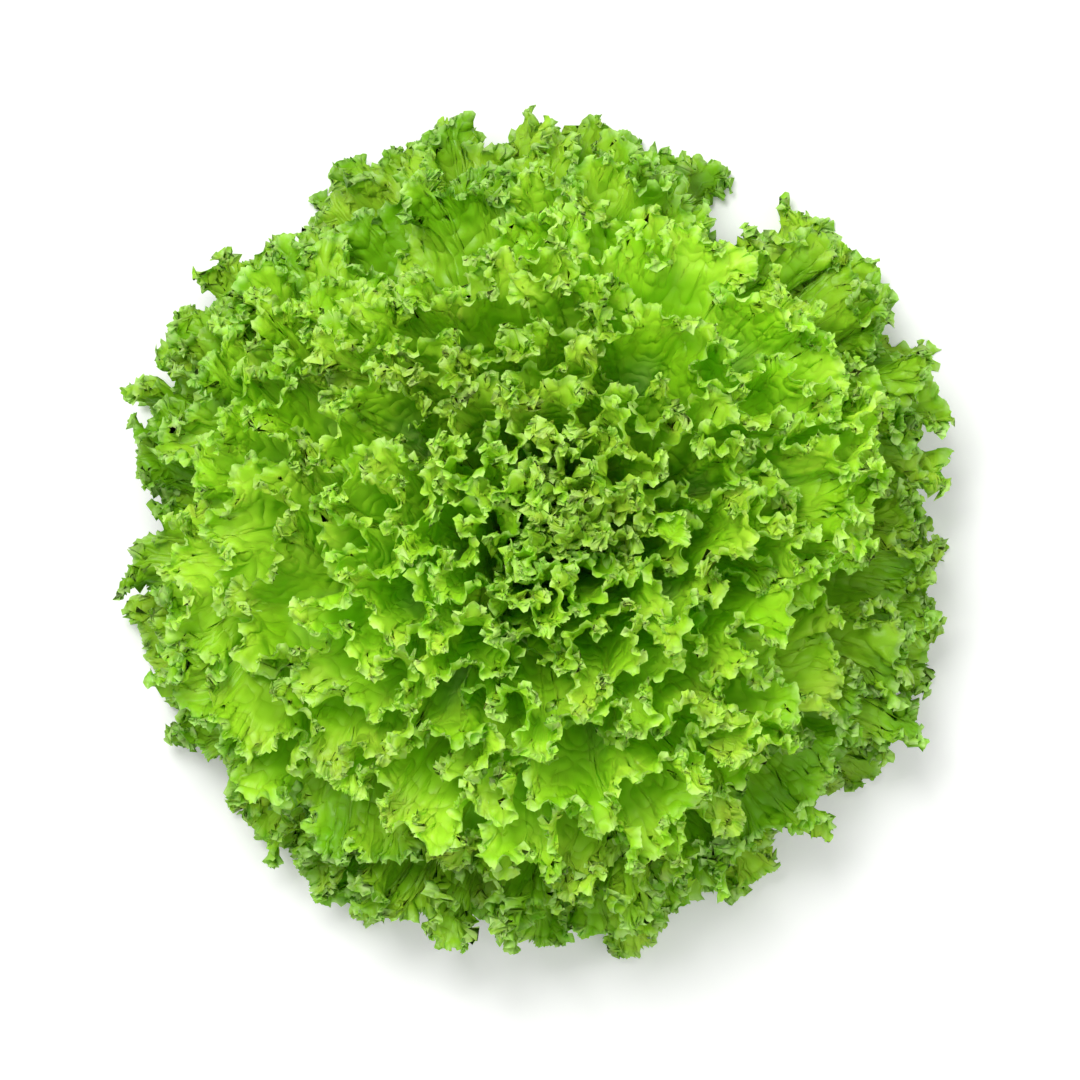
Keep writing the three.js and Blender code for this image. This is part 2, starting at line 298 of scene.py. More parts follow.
@dataclass(frozen=True)
class Arrangement:
    """The rings of leaves, from the heart outwards. Angles are in degrees.

    Args:
        outer_rings: where the outer leaves point, and inner_counts how many each inner ring has.
        heart_rings: how many of the inner rings are of heart leaves.
        golden_angle: the turn from one inner ring to the next.
        jitter: how far an inner leaf strays from its place.
        leaf_share: the share of the angle to its neighbour that half a leaf takes.
        inner_reach: least and greatest length of an inner leaf, and outer_reach of an outer one.
        lean_share: how far to its shell's side a leaf leans, in slots.
        parting: outer leaves that meet within parting_catches of this are parting_extra wider there.
        trims: where the outer leaves are shorter: the middle, the width and by what share.
    """

    outer_rings: tuple[tuple[float, ...], ...] = (
        (86, 36, 342, 286, 212, 150),
        (93, 29, 321, 243, 177),
        (98, 24, 336, 276, 218, 158),
        (76, 46, 324, 298, 226, 200, 154, 104),
    )
    inner_counts: tuple[int, ...] = (2, 2, 3, 3, 3, 3, 4, 4, 4, 3, 3)
    heart_rings: int = 2
    golden_angle: float = 137.5
    jitter: float = 9.0
    leaf_share: float = 0.47
    inner_reach: Pair = (0.92, 1.0)
    outer_reach: Pair = (0.97, 1.0)
    lean_share: float = 0.07
    parting: float = 61.0
    parting_catches: float = 8.0
    parting_extra: float = 0.5
    trims: tuple[Triple, ...] = (
        (42, 18, -0.025),
        (90, 13, 0.065),
        (124, 12, -0.02),
        (152, 11, 0.055),
        (182, 9, 0.05),
        (213, 11, 0.045),
        (311, 12, 0.08),
        (342, 16, 0.025),
    )

    @property
    def slot(self) -> float:
        """A ring's share of the shells."""
        return 1 / (len(self.inner_counts) + len(self.outer_rings))

    def rings(self) -> list[list[float]]:
        """The azimuths that each ring holds."""
        rings = []
        for ring, count in enumerate(self.inner_counts):
            turns = [(chance(ring * 10 + i, Channel.TURN) - 0.5) * 2 * self.jitter for i in range(count)]
            rings.append([ring * self.golden_angle + i * 360 / count + turns[i] for i in range(count)])
        return rings + [list(ring) for ring in self.outer_rings]

    def half_angle(self, azimuth: float, neighbour: float, slot: Slot) -> float:
        """The angle in radians that half a leaf takes towards its neighbour."""
        boundary = (azimuth + neighbour) / 2 % 360
        parted = slot is Slot.OUTER and abs(boundary - self.parting) < self.parting_catches
        share = abs(neighbour - azimuth) * self.leaf_share
        return math.radians(share + (self.parting_extra if parted else 0.0))

    def trim(self, azimuth: Array) -> Array:
        """How much shorter the outer leaves are at azimuths in radians, as a share of their length."""
        total = np.zeros_like(azimuth)
        for centre, width, share in self.trims:
            away = (np.degrees(azimuth) - centre + 540) % 360 - 180
            total += share * np.exp(-((away / width) ** 2))
        return total

    def plans(self) -> list[LeafPlan]:
        """Every leaf of the head, in the order of the solids' numbers."""
        made: list[LeafPlan] = []
        for ring, azimuths in enumerate(self.rings()):
            around = sorted(azimuth % 360 for azimuth in azimuths)
            around = [around[-1] - 360, *around, around[0] + 360]
            for before, azimuth, following in zip(around, around[1:], around[2:]):
                made.append(self.plan(len(made) + 1, ring, azimuth, (following, before)))
        return made

    def plan(self, seed: int, ring: int, azimuth: float, neighbours: Pair) -> LeafPlan:
        """One leaf of a ring, between the neighbours on its left and on its right."""
        inner = ring < len(self.inner_counts)
        slot = Slot.HEART if ring < self.heart_rings else Slot.INNER if inner else Slot.OUTER
        left, right = (self.half_angle(azimuth, neighbour, slot) for neighbour in neighbours)
        reach = self.inner_reach if inner else self.outer_reach
        return LeafPlan(
            name=f"{slot.value}_{seed:02d}",
            slot=slot,
            seed=seed,
            shell=(ring + 0.5) * self.slot,
            azimuth=math.radians(azimuth),
            left=left,
            right=right,
            reach=mix(*reach, chance(seed, Channel.REACH)),
            lean=(chance(seed, Channel.LEAN) - 0.5) * 2 * self.lean_share,
            phase=chance(seed, Channel.PHASE) * FULL_TURN,
        )


# ---- What makes a leaf curly ----


@dataclass(frozen=True)
class Frill:
    """One size of curl along a leaf's margin. The margin swings from side to side as a river does.

    Args:
        spacing: millimetres along the margin from one curl to the next.
        swing: how far the margin's line turns each way, in radians.
        depth: how far the curl runs in from the margin. It ends at ``reach`` times this.
        lip: how far the margin rolls over at the top of a curl, in radians.
        lip_depth: how far in from the margin it rolls.
        irregular: how uneven the spacing is.
        channel: the first of the ten channels of chance that this size has.
        slant: how far a curl strays from straight in, in radians.
        uneven_swing: how much stronger or weaker one curl is than the next.
        paces: how fast the spacing, the slant and the swing vary.
        lip_start: how far over the margin swings where its lip is half rolled.
    """

    spacing: float
    swing: float
    depth: float
    lip: float
    lip_depth: float
    irregular: float
    channel: float
    slant: float = 0.9
    uneven_swing: float = 0.25
    reach: float = 2.6
    paces: Triple = (1.3, 1.2, 0.9)
    lip_start: float = 0.2

    def angle(self, place: Array, inward: Array, share: Array, seed: int) -> Array:
        """How far the margin's line is turned at each point, in radians."""
        turns = place / self.spacing
        spacing_pace, slant_pace, swing_pace = self.paces
        uneven = self.irregular * wobble(turns * spacing_pace, seed, self.channel)
        phase = FULL_TURN * (turns + uneven)
        phase = phase + self.slant * wobble(inward / self.depth * slant_pace, seed, self.channel + 5)
        strength = 1 + self.uneven_swing * wobble(turns * swing_pace + 3, seed, self.channel + 9)
        fade = np.clip(1 - inward / (self.reach * self.depth), 0, 1) ** 2
        return self.swing * share * strength * fade * np.sin(phase)

    def bend(self, points: Array, inward: Array, share: Array, seed: int) -> Array:
        """Bends the sheet into curls that stand across the margin and roll over along it.

        Args:
            points: the sheet, rows by columns by 3, with the margin in row 0 evenly spaced.
            inward: millimetres in from the margin, rows by columns.
            share: share of the curls that each column gets.
            seed: the leaf's number.

        Returns:
            The moved points.
        """
        place = arc(points)
        step = np.gradient(place, axis=1)
        window = max(3, int(self.spacing / float(np.mean(step[0]))))
        tangent, outward, normal = sheet_axes(points, window // 6)
        angle = self.angle(place[0], inward, share, seed)
        shrink = np.clip(running_mean(np.cos(angle), window), LEAST_COSINE, 1)
        along = np.cumsum((np.cos(angle) / shrink - 1) * step, axis=1)
        across = np.cumsum(np.sin(angle) / shrink * step, axis=1)
        along = along - running_mean(along, window)
        across = across - running_mean(across, window)
        height = self.spacing * self.swing * self.lip_start
        lean = self.lip * share * np.tanh(across / height) * np.exp(-inward / self.lip_depth)
        sideways = across + sum_out(np.sin(lean), inward)
        upwards = sum_out(np.cos(lean) - 1, inward)
        for axis, distance in (tangent, along), (normal, sideways), (outward, upwards):
            points = points + axis * distance[..., None]
        return points


@dataclass(frozen=True)
class Blisters:
    """The rounded swellings of the blade between its veins, in crossing rows.

    Args:
        height: how high they stand, and size how far apart they are, in millimetres.
        stray: how far the rows stray, in radians, and paces how fast.
        skew: how far the two sets of rows turn towards each other.
        bulge: below 1 for domes with steep sides.
        level: the share of a dome that lies below the sheet.
        base_fade: how fast they grow from the leaf's base out, and where they start.
        margin_fade: millimetres in from the margin where they are whole, and their share at it.
    """

    height: float = 1.8
    size: float = 11.0
    stray: Triple = (1.3, 0.8, 1.3)
    paces: Triple = (0.8, 0.7, 0.8)
    skew: Pair = (0.5, -0.6)
    bulge: float = 0.8
    level: float = 0.55
    base_fade: Pair = (2.2, 0.35)
    margin_fade: Pair = (6.0, 0.25)

    def swell(self, points: Array, inward: Array, out: Array, seed: int) -> Array:
        """The sheet with its blisters raised."""
        normal = sheet_axes(points)[2]
        u = arc(points) / self.size * HALF_TURN
        v = inward / self.size * HALF_TURN
        strays = [
            stray * wobble(where * pace, seed, Channel.BLISTERS + i)
            for i, (stray, where, pace) in enumerate(zip(self.stray, (v, u, u), self.paces))
        ]
        a = u + strays[0] + strays[1]
        b = v + strays[2]
        rows = np.sin(a + self.skew[0] * b) * np.sin(b + self.skew[1] * a)
        dome = (np.abs(rows) + 1e-3) ** self.bulge
        fade = np.clip(out * self.base_fade[0] - self.base_fade[1], 0, 1)
        fade = fade * np.clip(inward / self.margin_fade[0], self.margin_fade[1], 1)
        return points + normal * (self.height * (dome - self.level) * fade)[..., None]


@dataclass(frozen=True)
class Teeth:
    """The small uneven teeth of the margin.

    Args:
        side_width: width of a tooth at the leaf's sides, and tip_width round its tip.
        height: height of a usual tooth, and tallness the least and greatest share of it.
        depth: how far in from the margin a tooth draws the blade along.
        uneven: how uneven the widths are.
        bend: how far teeth lean out of the sheet, as a share of their height.
        point: above 1 for hollow sides.
        divisor: the number of teeth is a multiple of this, so that columns can be halved.
    """

    side_width: float = 12.0
    tip_width: float = 2.8
    height: float = 0.9
    depth: float = 1.3
    uneven: float = 0.3
    tallness: Pair = (0.35, 1.25)
    bend: float = 0.3
    point: float = 1.2
    divisor: int = 4

    def cut(self, points: Array, inward: Array, tip: Array, seed: int) -> tuple[Array, Array]:
        """Pulls the margin out into teeth.

        Args:
            points: the sheet so far.
            inward: millimetres in from the margin.
            tip: 1 for the columns round the tip, and 0 for those near the base.
            seed: the leaf's number.

        Returns:
            The moved points, and the numbers of the columns to keep: two for each tooth.
        """
        outward, normal = sheet_axes(points)[1:]
        real = arc(points[0])
        width = mix(self.side_width, self.tip_width, tip)
        width = width * (1 + self.uneven * wobble(real / 4, seed, Channel.TEETH))
        turns = np.concatenate([[0], np.cumsum(np.diff(real) / width[1:])])
        count = self.divisor * max(4, round(turns[-1] / self.divisor))
        turns = turns * count / turns[-1]
        number = np.floor(turns)
        tall = mix(*self.tallness, scatter(number, seed))
        bent = self.bend * (scatter(number, seed + 0.5) - 0.5)
        shape = (1 - np.abs(2 * (turns - number) - 1)) ** self.point
        tooth = self.height * tall * shape * np.exp(-inward / self.depth)
        keep = np.searchsorted(turns, np.arange(2 * count + 1) / 2 - 1e-9).clip(0, len(turns) - 1)
        for axis, distance in (outward, tooth), (normal, tooth * bent):
            points = points + axis * distance[..., None]
        return points, keep


# ---- Meshes ----


def smooth_mesh(name: str, points: Array, faces: Faces) -> bpy.types.Mesh:
    """A smoothly shaded mesh, in metres, from points in millimetres."""
    mesh = bpy.data.meshes.new(name)
    mesh.from_pydata((points * MM).tolist(), [], faces)
    mesh.polygons.foreach_set("use_smooth", [True] * len(mesh.polygons))
    return mesh


def attach(mesh: bpy.types.Mesh, name: str, vectors: Array) -> None:
    """Gives each point of a mesh a vector for its finish to read."""
    attribute = mesh.attributes.new(name, "FLOAT_VECTOR", "POINT")
    attribute.data.foreach_set("vector", vectors.astype(np.float32).ravel())


def place_piece(name: str, mesh: bpy.types.Mesh, node: str) -> bpy.types.Object:
    """Puts a finished mesh in the scene as the dressed form of a solid.

    Args:
        name: the piece's own name.
        mesh: its mesh, in metres.
        node: the solid that it stands for.

    Returns:
        The piece.
    """
    piece = bpy.data.objects.new(name, mesh)
    bpy.context.scene.collection.objects.link(piece)
    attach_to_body(piece, "root")
    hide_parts(node)
    return piece


# ---- The leaves ----


@dataclass
class Sheet:
    """The middle of a leaf as grids, rows from the margin in by columns round it.

    Beside its points and normals it holds how far they are across (-1 to 1), out (0 to 1) and in
    from the margin (in millimetres).
    """

    points: Array
    normals: Array
    across: Array
    out: Array
    inward: Array

    def pick(self, rows: Array, columns: Array) -> "Sheet":
        """The same sheet at some of its points."""
        return Sheet(**{key: value[rows, columns] for key, value in vars(self).items()})


@dataclass(frozen=True)
class LeafForm:
    """How a leaf's middle surface runs. A pair of numbers is for the innermost and outermost leaves.

    Args:
        shells: the bowls that the leaves lie on, and arrangement where they grow on them.
        frills: the curls of the margin, large ones first.
        side_start: how far out the margin starts at the leaf's sides, as a share of its length.
        base_width: width of the base, as a share of the leaf's angle.
        lobes: height of the outline's lobes, as a share of the leaf's length.
        ruffle_share: height of the main waves, in slots, with wave_spacing from one to the next.
        ruffle_starts: how far out they start, and ruffle_power how late they grow.
        sides_length: length of the leaf's sides, in radii of the head.
        curl_range: strength of the curls round the tip, and side_curl that at the sides.
        tip_ends: how far round the margin the tip reaches, and tip_blend over what share it ends.
        finest: first spacing of the columns, and fine_step their spacing for the curls.
        depths: millimetres in from the margin of each row, as far as last_depth of the length.
    """

    shells: Shells = field(default_factory=Shells)
    arrangement: Arrangement = field(default_factory=Arrangement)
    frills: tuple[Frill, ...] = (
        Frill(spacing=30, swing=0.82, depth=13, lip=1.15, lip_depth=7.5, irregular=0.10, channel=20),
        Frill(spacing=9, swing=0.85, depth=3.6, lip=0.75, lip_depth=2.4, irregular=0.10, channel=30),
    )
    blisters: Blisters = field(default_factory=Blisters)
    teeth: Teeth = field(default_factory=Teeth)
    side_start: float = 0.3
    base_width: float = 0.72
    squareness: float = 4.4
    lobes: float = 0.08
    lobe_pace: float = 1.1
    ruffle_share: float = 0.4
    ruffle_starts: float = 0.3
    ruffle_power: float = 1.5
    wave_spacing: float = 46.0
    least_waves: float = 2.0
    sides_length: float = 0.9
    side_curl: float = 0.3
    curl_range: Pair = (0.8, 1.1)
    tip_ends: float = 0.68
    tip_blend: float = 0.14
    finest: float = 0.08
    fine_step: float = 0.25
    depths: tuple[float, ...] = (0, 1.1, 2.7, 4.9, 7.9, 12, 18, 27, 42, 70, 120)
    last_depth: float = 0.9

    def margin(self, across: Array) -> tuple[Array, Array]:
        """The margin's share of the leaf's angle and of its length, from -1 round the tip to 1."""
        side, far = np.sin(across * HALF_TURN / 2), np.abs(np.cos(across * HALF_TURN / 2))
        stretch = (np.abs(side) ** self.squareness + far**self.squareness) ** (-1 / self.squareness)
        return side * stretch, self.side_start + (1 - self.side_start) * far * stretch

    def wave_count(self, plan: LeafPlan) -> float:
        """Number of main waves round a leaf's margin."""
        tip = (plan.left + plan.right) * float(self.shells.rim(plan.shell)[0])
        sides = self.sides_length * self.shells.head_radius * plan.reach
        return max(self.least_waves, (tip + sides) / self.wave_spacing)

    def carrier(self, plan: LeafPlan, across: Array, out: Array) -> Array:
        """The sheet with its main waves only, at ``across`` (-1 to 1) and ``out`` (0 to 1)."""
        side, far = self.margin(across)
        angle = mix(self.base_width * across, side, out)
        half = np.where(angle > 0, plan.left, plan.right)
        grown = np.clip((out - self.ruffle_starts) / (1 - self.ruffle_starts), 0, None)
        turns = HALF_TURN * self.wave_count(plan) * across
        ruffle = self.ruffle_share * grown**self.ruffle_power * np.sin(turns + plan.phase)
        shell = plan.shell + self.arrangement.slot * (plan.lean * angle * out + ruffle)
        lobe = 1 + self.lobes * out * wobble(turns * self.lobe_pace, plan.seed, Channel.LOBES)
        azimuth = plan.azimuth + angle * half
        trim = self.arrangement.trim(azimuth) if plan.slot is Slot.OUTER else 0.0
        return self.shells.point(azimuth, shell, far * lobe * out * (plan.reach * (1 - trim)))

    def sheet(self, plan: LeafPlan) -> Sheet:
        """The leaf's middle surface, finely cut along the margin."""
        margin = np.linspace(-1, 1, MARGIN_POINTS)
        coarse = self.carrier(plan, margin, np.ones_like(margin))
        number = 2 * round(np.linalg.norm(np.diff(coarse, axis=0), axis=1).sum() / self.finest / 2)
        across = np.linspace(-1, 1, number + 1)
        middle = np.linspace(0, 1, MIDDLE_POINTS)
        rise = self.carrier(plan, np.zeros_like(middle), middle)
        length = np.linalg.norm(np.diff(rise, axis=0), axis=1).sum()
        depths = np.array(self.depths, dtype=float)
        depths = np.append(depths[depths < length * self.last_depth], length)
        grid_across, grid_out = np.meshgrid(across, 1 - depths / length)
        points = self.carrier(plan, grid_across, grid_out)
        steps = np.linalg.norm(np.diff(points, axis=0), axis=2)
        inward = np.vstack([np.zeros(len(across)), np.cumsum(steps, axis=0)])
        points = self.blisters.swell(points, inward, grid_out, plan.seed)
        tip = np.clip((self.tip_ends - np.abs(across)) / self.tip_blend, 0, 1)
        for frill in self.frills:
            even = even_columns(points[0], self.fine_step)
            points, inward, tip, grid_across, grid_out = (
                values[..., even, :] if values.ndim == 3 else values[..., even]
                for values in (points, inward, tip, grid_across, grid_out)
            )
            strength = mix(self.side_curl, 1.0, tip) * mix(*self.curl_range, plan.shell)
            points = frill.bend(points, inward, strength, plan.seed)
        points, keep = self.teeth.cut(points, inward, tip, plan.seed)
        fine = Sheet(points, sheet_axes(points)[2], grid_across, grid_out, inward)
        return fine.pick(*np.ix_(np.arange(len(depths)), keep))


@dataclass(frozen=True)
class Flesh:
    """A leaf's thickness, in millimetres, and how it meets the table.

    Args:
        blade: thickness of the blade, which thins to nothing over the edge_width.
        rib: thickness at the midrib's base in the innermost and the outermost leaf.
        rib_width: how wide the rib is, as a share of half the leaf.
        floor_gap: how far above the table the lowest leaves lie, and softness how softly.
    """

    blade: float = 0.45
    edge_width: float = 3.0
    rib: Pair = (0.9, 3.0)
    rib_width: float = 0.45
    rib_power: float = 1.5
    floor_gap: float = 0.2
    softness: float = 1.5

    def thickness(self, plan: LeafPlan, sheet: Sheet) -> Array:
        """Thickness of the leaf: a rib along the middle that thins outwards, and an even blade."""
        rib = max(0.0, mix(*self.rib, plan.shell) - self.blade)
        ridge = np.exp(-((sheet.across / self.rib_width) ** 2))
        blade = self.blade * np.clip(sheet.inward / self.edge_width, 0, 1) ** 0.5
        return blade + rib * (1 - sheet.out) ** self.rib_power * ridge

    def sides(self, plan: LeafPlan, sheet: Sheet) -> tuple[Array, Array]:
        """The points of the leaf's upper and lower sides, lifted softly clear of the table."""
        offset = sheet.normals * self.thickness(plan, sheet)[:, None] / 2
        upper, lower = sheet.points + offset, sheet.points - offset
        low = np.minimum(upper[:, 2], lower[:, 2])
        above = low - self.floor_gap
        lift = self.floor_gap + (above + np.hypot(above, self.softness)) / 2 - low
        upper[:, 2] += lift
        lower[:, 2] += lift
        return upper, lower


@dataclass
class Net:
    """The points that a mesh takes from a sheet, numbered row by row.

    Args:
        columns: the columns that each row keeps. A row has as many as the one before, or half.
    """

    columns: list[Array]
    firsts: list[int] = field(init=False)
    lasts: list[int] = field(init=False)

    def __post_init__(self) -> None:
        """Numbers the first and the last point of each row."""
        ends = np.cumsum([len(kept) for kept in self.columns]).tolist()
        self.firsts = [0, *ends[:-1]]
        self.lasts = [end - 1 for end in ends]

    def places(self) -> tuple[Array, Array]:
        """The row and the column of every point."""
        rows = np.repeat(np.arange(len(self.columns)), [len(kept) for kept in self.columns])
        return rows, np.concatenate(self.columns)

    def faces(self) -> Faces:
        """The faces between the points, with triangles where a row has half as many columns."""
        made: Faces = []
        for row in range(len(self.columns) - 1):
            here, there = self.firsts[row], self.firsts[row + 1]
            fine, coarse = self.lasts[row] - here, self.lasts[row + 1] - there
            if fine == coarse:
                made += [(here + i, there + i, there + i + 1, here + i + 1) for i in range(fine)]
                continue
            for i in range(coarse):
                a, b, c = here + 2 * i, here + 2 * i + 1, here + 2 * i + 2
                d, e = there + i, there + i + 1
                made += [(a, d, b), (d, e, b), (b, e, c)]
        return made

    def border(self) -> list[int]:
        """The points of the boundary, once round, against the way the faces run."""
        base = range(self.lasts[-1] - 1, self.firsts[-1] - 1, -1)
        return [*range(self.lasts[0] + 1), *self.lasts[1:], *base, *self.firsts[-2:0:-1]]


@dataclass
class Leaves:
    """The head's leaves, each a closed sheet with its fine detail near the margin.

    Args:
        finishes: the finish of each slot.
        form: how the leaves run, and flesh how thick they are.
        halve_after: the rows after which every second column ends.
        crisp_angle: faces that meet at more than this angle, in radians, have a crisp edge.
        tone_range: how much lighter or darker a leaf can be.
        apart: keeps the leaves' patterns apart, in millimetres.
        map_edge: free border of a leaf's flat map, and map_gap half the gap between its sides.
    """

    finishes: dict[Slot, "LeafFinish"]
    form: LeafForm = field(default_factory=LeafForm)
    flesh: Flesh = field(default_factory=Flesh)
    halve_after: tuple[int, ...] = (1, 4, 6)
    crisp_angle: float = 2.0
    tone_range: float = 0.09
    apart: float = 53.0
    map_edge: float = 0.02
    map_gap: float = 0.01

    def build(self) -> list[bpy.types.Object]:
        """Makes, dresses and places every leaf."""
        made = []
        materials = {slot: finish.material() for slot, finish in self.finishes.items()}
        for plan in self.form.arrangement.plans():
            mesh = self.mesh(plan)
            mesh.materials.append(materials[plan.slot])
            made.append(place_piece(f"frilled_{plan.name}", mesh, plan.name))
        return made

    def mesh(self, plan: LeafPlan) -> bpy.types.Mesh:
        """The leaf as a closed mesh, in metres.

        Its finish reads each point's place in millimetres, which is different for every leaf, how far
        it is across and out and in from the margin, and the leaf's tone.
        """
        sheet = self.form.sheet(plan)
        rows, columns = sheet.across.shape
        strides = [2 ** sum(row > last for last in self.halve_after) for row in range(rows)]
        net = Net([np.arange(0, columns, stride) for stride in strides])
        row_of, column_of = net.places()
        picked = sheet.pick(row_of, column_of)
        upper, lower = self.flesh.sides(plan, picked)
        faces = net.faces()
        count, thin = len(upper), len(net.columns[0])
        beneath = np.concatenate([np.arange(thin), count + np.arange(count - thin)])
        under = [tuple(beneath[list(reversed(face))].tolist()) for face in faces]
        border = net.border()
        around = [pair for pair in zip(border, border[1:] + border[:1]) if max(pair) >= thin]
        edge = [(here, int(beneath[here]), int(beneath[there]), there) for here, there in around]
        edge = [tuple(dict.fromkeys(face)) for face in edge]
        places = np.vstack([upper, lower[thin:]])
        mesh = smooth_mesh(plan.name, places, faces + under + edge)
        mesh.set_sharp_from_angle(angle=self.crisp_angle)
        shares = np.stack([picked.across, picked.out, picked.inward], axis=1)
        attach(mesh, "leaf_mm", places + self.apart * plan.seed)
        attach(mesh, "leaf_share", np.vstack([shares, shares[thin:]]))
        tone = 1 + self.tone_range * (2 * chance(plan.seed, Channel.TONE) - 1)
        attribute = mesh.attributes.new("leaf_tone", "FLOAT", "POINT")
        attribute.data.foreach_set("value", [tone] * len(places))
        self.unroll(mesh, picked, row_of / (rows - 1), len(faces), edge)
        mesh.update()
        return mesh

    def unroll(self, mesh: bpy.types.Mesh, sheet: Sheet, depth: Array, sides: int, edge: Faces) -> None:
        """Gives the mesh a flat map: one side of the leaf above the other, with its edge beside them.

        Args:
            mesh: the closed mesh, with the faces of its upper side, its lower side and its edge.
            sheet: its upper side's points.
            depth: from 0 at the margin to 1 at the base, for each of them.
            sides: number of faces on each side.
            edge: the edge's faces.
        """
        u = self.map_edge + (1 - 2 * self.map_edge) * (sheet.across + 1) / 2
        v = self.map_gap + (0.5 - self.map_gap - self.map_edge) * depth
        thin = int((depth == 0).sum())
        places = np.stack([u, 0.5 + v], axis=1)
        below = np.stack([u, 0.5 - v], axis=1)
        spread = np.vstack([places, below[thin:]])
        loops = np.empty(len(mesh.loops), dtype=np.int32)
        mesh.loops.foreach_get("vertex_index", loops)
        starts = np.empty(len(mesh.polygons), dtype=np.int32)
        mesh.polygons.foreach_get("loop_start", starts)
        flat = spread[loops]
        lower = slice(starts[sides], starts[2 * sides])
        margin = loops[lower] < thin
        flat[lower][margin] = below[loops[lower][margin]]
        corner = int(starts[2 * sides])
        for face in edge:
            here, there = face[0], face[-1]
            base = depth[here] == 1 and depth[there] == 1
            step = (0.0, self.map_gap) if base else (self.map_gap * np.sign(u[here] - 0.5), 0.0)
            flat[corner] = places[here]
            flat[corner + len(face) - 1] = places[there]
            for offset, vertex in list(enumerate(face))[1:-1]:
                flat[corner + offset] = places[here if offset == 1 and vertex != there else there] + step
            corner += len(face)
        layer = mesh.uv_layers.new(name="OFBake")
        layer.data.foreach_set("uv", flat.astype(np.float32).ravel())


# ---- The stem ----


@dataclass
class Stem:
    """The short stem that all the leaves grow from, with the cut face that the head stands on.

    Its profile is radii and heights. A set of ribs is their number, height and start. The scars of
    lost leaves have a depth and a spacing. Both grow just above the cut and fade where it is thin.
    """

    finish: "StemFinish"
    cut_radius: float = 16.0
    chamfer: float = 1.0
    profile: tuple[Pair, ...] = ((16.0, 1.0), (16.0, 9.0), (15.8, 16.0), (2.3, 60.0))
    tip_height: float = 63.0
    sides: int = 96
    spacing: float = 1.5
    ribs: tuple[tuple[int, float, float], ...] = ((5, 0.3, 0.4), (8, 0.2, 2.1), (19, 0.1, 1.0))
    rib_twist: float = 0.05
    scars: Pair = (0.35, 4.2)
    scar_sway: float = 0.8
    uneven_above: float = 2.0
    uneven_radius: float = 6.0

    def outline(self) -> list[Pair]:
        """Radius and height from the middle of the cut face up to the tip, closely spaced."""
        flat = self.cut_radius - self.chamfer
        corners = [(flat, 0.0), *self.profile, (0.05, self.tip_height)]
        points = [(flat * share, 0.0) for share in (0.05, 0.2, 0.4, 0.6, 0.8, 0.93)]
        for (r0, z0), (r1, z1) in zip(corners, corners[1:]):
            count = max(1, round(math.hypot(r1 - r0, z1 - z0) / self.spacing))
            points += [(mix(r0, r1, i / count), mix(z0, z1, i / count)) for i in range(count)]
        return points + [corners[-1]]

    def build(self) -> list[bpy.types.Object]:
        """Makes, dresses and places the stem."""
        outline = np.array(self.outline())
        turn = np.arange(self.sides) * FULL_TURN / self.sides
        radius, height = outline[:, :1], outline[:, 1:]
        grown = np.clip(height / self.uneven_above, 0, 1) * np.clip(radius / self.uneven_radius, 0, 1)
        twist = self.rib_twist * height
        uneven = sum(h * np.sin(n * turn + start + twist) for n, h, start in self.ribs)
        tall, spacing = self.scars
        row = height / spacing * HALF_TURN / 2 + self.scar_sway * np.sin(2 * turn) + turn
        scar = tall * np.abs(np.sin(row))
        radius = np.clip(radius + grown * (uneven - scar + tall), 0.02, None)
        height = np.broadcast_to(height, radius.shape)
        points = np.stack([radius * np.cos(turn), radius * np.sin(turn), height], axis=-1)
        sides, last = self.sides, (len(outline) - 1) * self.sides
        faces: Faces = []
        for here in range(0, last, sides):
            above = here + sides
            for c, d in zip(range(sides), [*range(1, sides), 0]):
                faces.append((here + d, above + d, above + c, here + c))
        faces.append(tuple(range(sides))[::-1])
        faces.append(tuple(range(last, last + sides)))
        mesh = smooth_mesh("stem", points.reshape(-1, 3), faces)
        attach(mesh, "stem_mm", points)
        mesh.materials.append(self.finish.material())
        return [place_piece("cut_stem", mesh, "stem")]


# ---- Finishes ----


def srgb(code: str) -> tuple[float, float, float, float]:
    """A hex colour as the linear values that shaders use."""
    values = [int(code[i : i + 2], 16) / 255 for i in (0, 2, 4)]
    linear = [v / 12.92 if v <= 0.04045 else ((v + 0.055) / 1.055) ** 2.4 for v in values]
    return (*linear, 1.0)


def add_node(
    tree: bpy.types.NodeTree, kind: str, settings: dict[str, Any] | None = None, **inputs: Any
) -> bpy.types.NodeOutputs:
    """Adds a shader node.

    Args:
        tree: the material's nodes.
        kind: the node's type.
        settings: its own settings.
        inputs: its sockets, by name with _ for a space or by number as in i0. A socket is linked,
            and anything else is set as the value.

    Returns:
        Its outputs.
    """
    node = tree.nodes.new(kind)
    for key, value in (settings or {}).items():
        setattr(node, key, value)
    for key, value in inputs.items():
        numbered = key[0] == "i" and key[1:].isdigit()
        socket = node.inputs[int(key[1:])] if numbered else node.inputs[key.replace("_", " ")]
        if isinstance(value, bpy.types.NodeSocket):
            tree.links.new(value, socket)
        else:
            socket.default_value = value
    return node.outputs


def emptied(owner: bpy.types.ID) -> Callable[..., bpy.types.NodeOutputs]:
    """Clears the nodes of a new material or world, and gives what adds nodes to them."""
    owner.use_nodes = True
    owner.node_tree.nodes.clear()
    return partial(add_node, owner.node_tree)


MATH = "ShaderNodeMath"
RANGE = "ShaderNodeMapRange"
MULTIPLY = {"operation": "MULTIPLY"}
MIX = "ShaderNodeMix"
COLOUR = {"data_type": "RGBA"}
NOISE = "ShaderNodeTexNoise"
ATTRIBUTE = "ShaderNodeAttribute"
BUMP = "ShaderNodeBump"
SURFACE = "ShaderNodeBsdfPrincipled"
OUTPUT = "ShaderNodeOutputMaterial"
WHITE = (1.0, 1.0, 1.0, 1.0)


